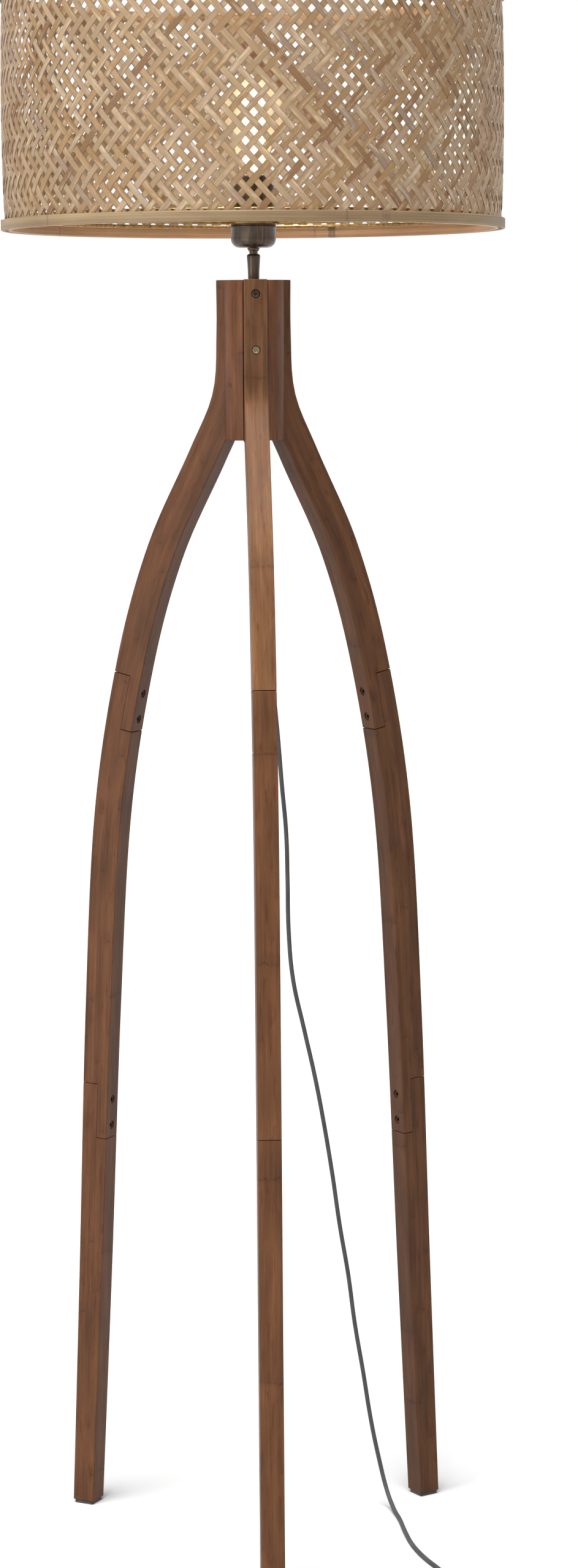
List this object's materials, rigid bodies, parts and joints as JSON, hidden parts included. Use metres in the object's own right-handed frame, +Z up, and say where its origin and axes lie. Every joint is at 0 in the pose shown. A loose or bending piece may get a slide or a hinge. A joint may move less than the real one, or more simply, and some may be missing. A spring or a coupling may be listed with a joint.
{
  "type": "tripod floor lamp",
  "caption": "Floor lamp with curved bamboo tripod legs screwed to a turned hub, a drum shade of diagonally woven bamboo strips, a lit bulb and a flex with foot switch and plug",
  "frame": {"origin": "on the floor under the lamp's vertical axis, centred between the outermost points of the shade", "axes": "+Z up along the lamp's axis; -Y points along the front leg; +X to the right seen from the front"},
  "size_m": [0.47, 0.4707, 1.4763],
  "materials": {
    "bamboo_brown": "brown stained strip-laminated bamboo, satin lacquer",
    "shade_bamboo": "natural bamboo strips, dry matt",
    "screw_steel": "black zinc, satin",
    "bronze": "brushed antique bronze",
    "brass": "brass plated, semi-bright",
    "bush_plastic": "moulded, fine texture",
    "insert_ceramic": "glazed",
    "bulb_cap_metal": "bare, rolled thread",
    "bulb_glass": "opal glass, lit warm white",
    "pad_felt": "pressed felt",
    "flex_grey": "dark grey sheath, matt",
    "plug_plastic": "moulded dark grey, fine texture",
    "switch_plastic": "moulded dark grey, fine texture"
  },
  "bodies": {
    "stand": {"leg_front_upper": "bamboo_brown", "leg_front_middle": "bamboo_brown", "leg_front_lower": "bamboo_brown", "leg_right_upper": "bamboo_brown", "leg_right_middle": "bamboo_brown", "leg_right_lower": "bamboo_brown", "leg_left_upper": "bamboo_brown", "leg_left_middle": "bamboo_brown", "leg_left_lower": "bamboo_brown", "hub_core": "bamboo_brown", "hub_screw_front_1": "screw_steel", "hub_screw_front_2": "screw_steel", "hub_screw_right_1": "screw_steel", "hub_screw_right_2": "screw_steel", "hub_screw_left_1": "screw_steel", "hub_screw_left_2": "screw_steel", "lap_screw_front_upper_1": "screw_steel", "lap_screw_front_upper_2": "screw_steel", "lap_screw_front_lower_1": "screw_steel", "lap_screw_front_lower_2": "screw_steel", "lap_screw_right_upper_1": "screw_steel", "lap_screw_right_upper_2": "screw_steel", "lap_screw_right_lower_1": "screw_steel", "lap_screw_right_lower_2": "screw_steel", "lap_screw_left_upper_1": "screw_steel", "lap_screw_left_upper_2": "screw_steel", "lap_screw_left_lower_1": "screw_steel", "lap_screw_left_lower_2": "screw_steel", "foot_pad_front": "pad_felt", "foot_pad_right": "pad_felt", "foot_pad_left": "pad_felt", "neck_post": "bronze", "neck_collar": "bronze", "holder_cap": "bronze", "holder_shell": "bronze", "threaded_tube": "brass", "hub_nut": "brass", "holder_locknut": "brass", "centre_contact": "brass", "screw_shell": "brass", "cord_bush": "bush_plastic", "holder_insert": "insert_ceramic", "flex_lead": "flex_grey", "flex_coil": "flex_grey", "flex_link": "flex_grey", "flex_tail": "flex_grey", "plug_body": "plug_plastic", "switch_base": "switch_plastic", "switch_cover": "switch_plastic"},
    "shade": {"shade_weave": "shade_bamboo", "bottom_rim_outer": "shade_bamboo", "bottom_rim_inner": "shade_bamboo", "top_rim_outer": "shade_bamboo", "top_rim_inner": "shade_bamboo", "shade_carrier": "brass"},
    "shade_ring_nut": {"shade_ring": "bronze"},
    "bulb": {"bulb_cap": "bulb_cap_metal", "bulb_glass": "bulb_glass"},
    "button": {"switch_button": "switch_plastic"}
  },
  "joints": [
    {"name": "shade_turn", "type": "hinge", "parent": "stand", "child": "shade", "pos_m": [0, 0, 1.2624], "axis": [0, 0, 1], "continuous": true},
    {"name": "ring_turn", "type": "hinge", "parent": "stand", "child": "shade_ring_nut", "pos_m": [0, 0, 1.267], "axis": [0, 0, 1], "continuous": true},
    {"name": "bulb_lift", "type": "slide", "parent": "stand", "child": "bulb", "axis": [0, 0, 1], "range_m": [0, 0.09]},
    {"name": "button_press", "type": "slide", "parent": "stand", "child": "button", "axis": [0, 0, -1], "range_m": [0, 0.003], "stiffness_N_per_m": 900}
  ]
}
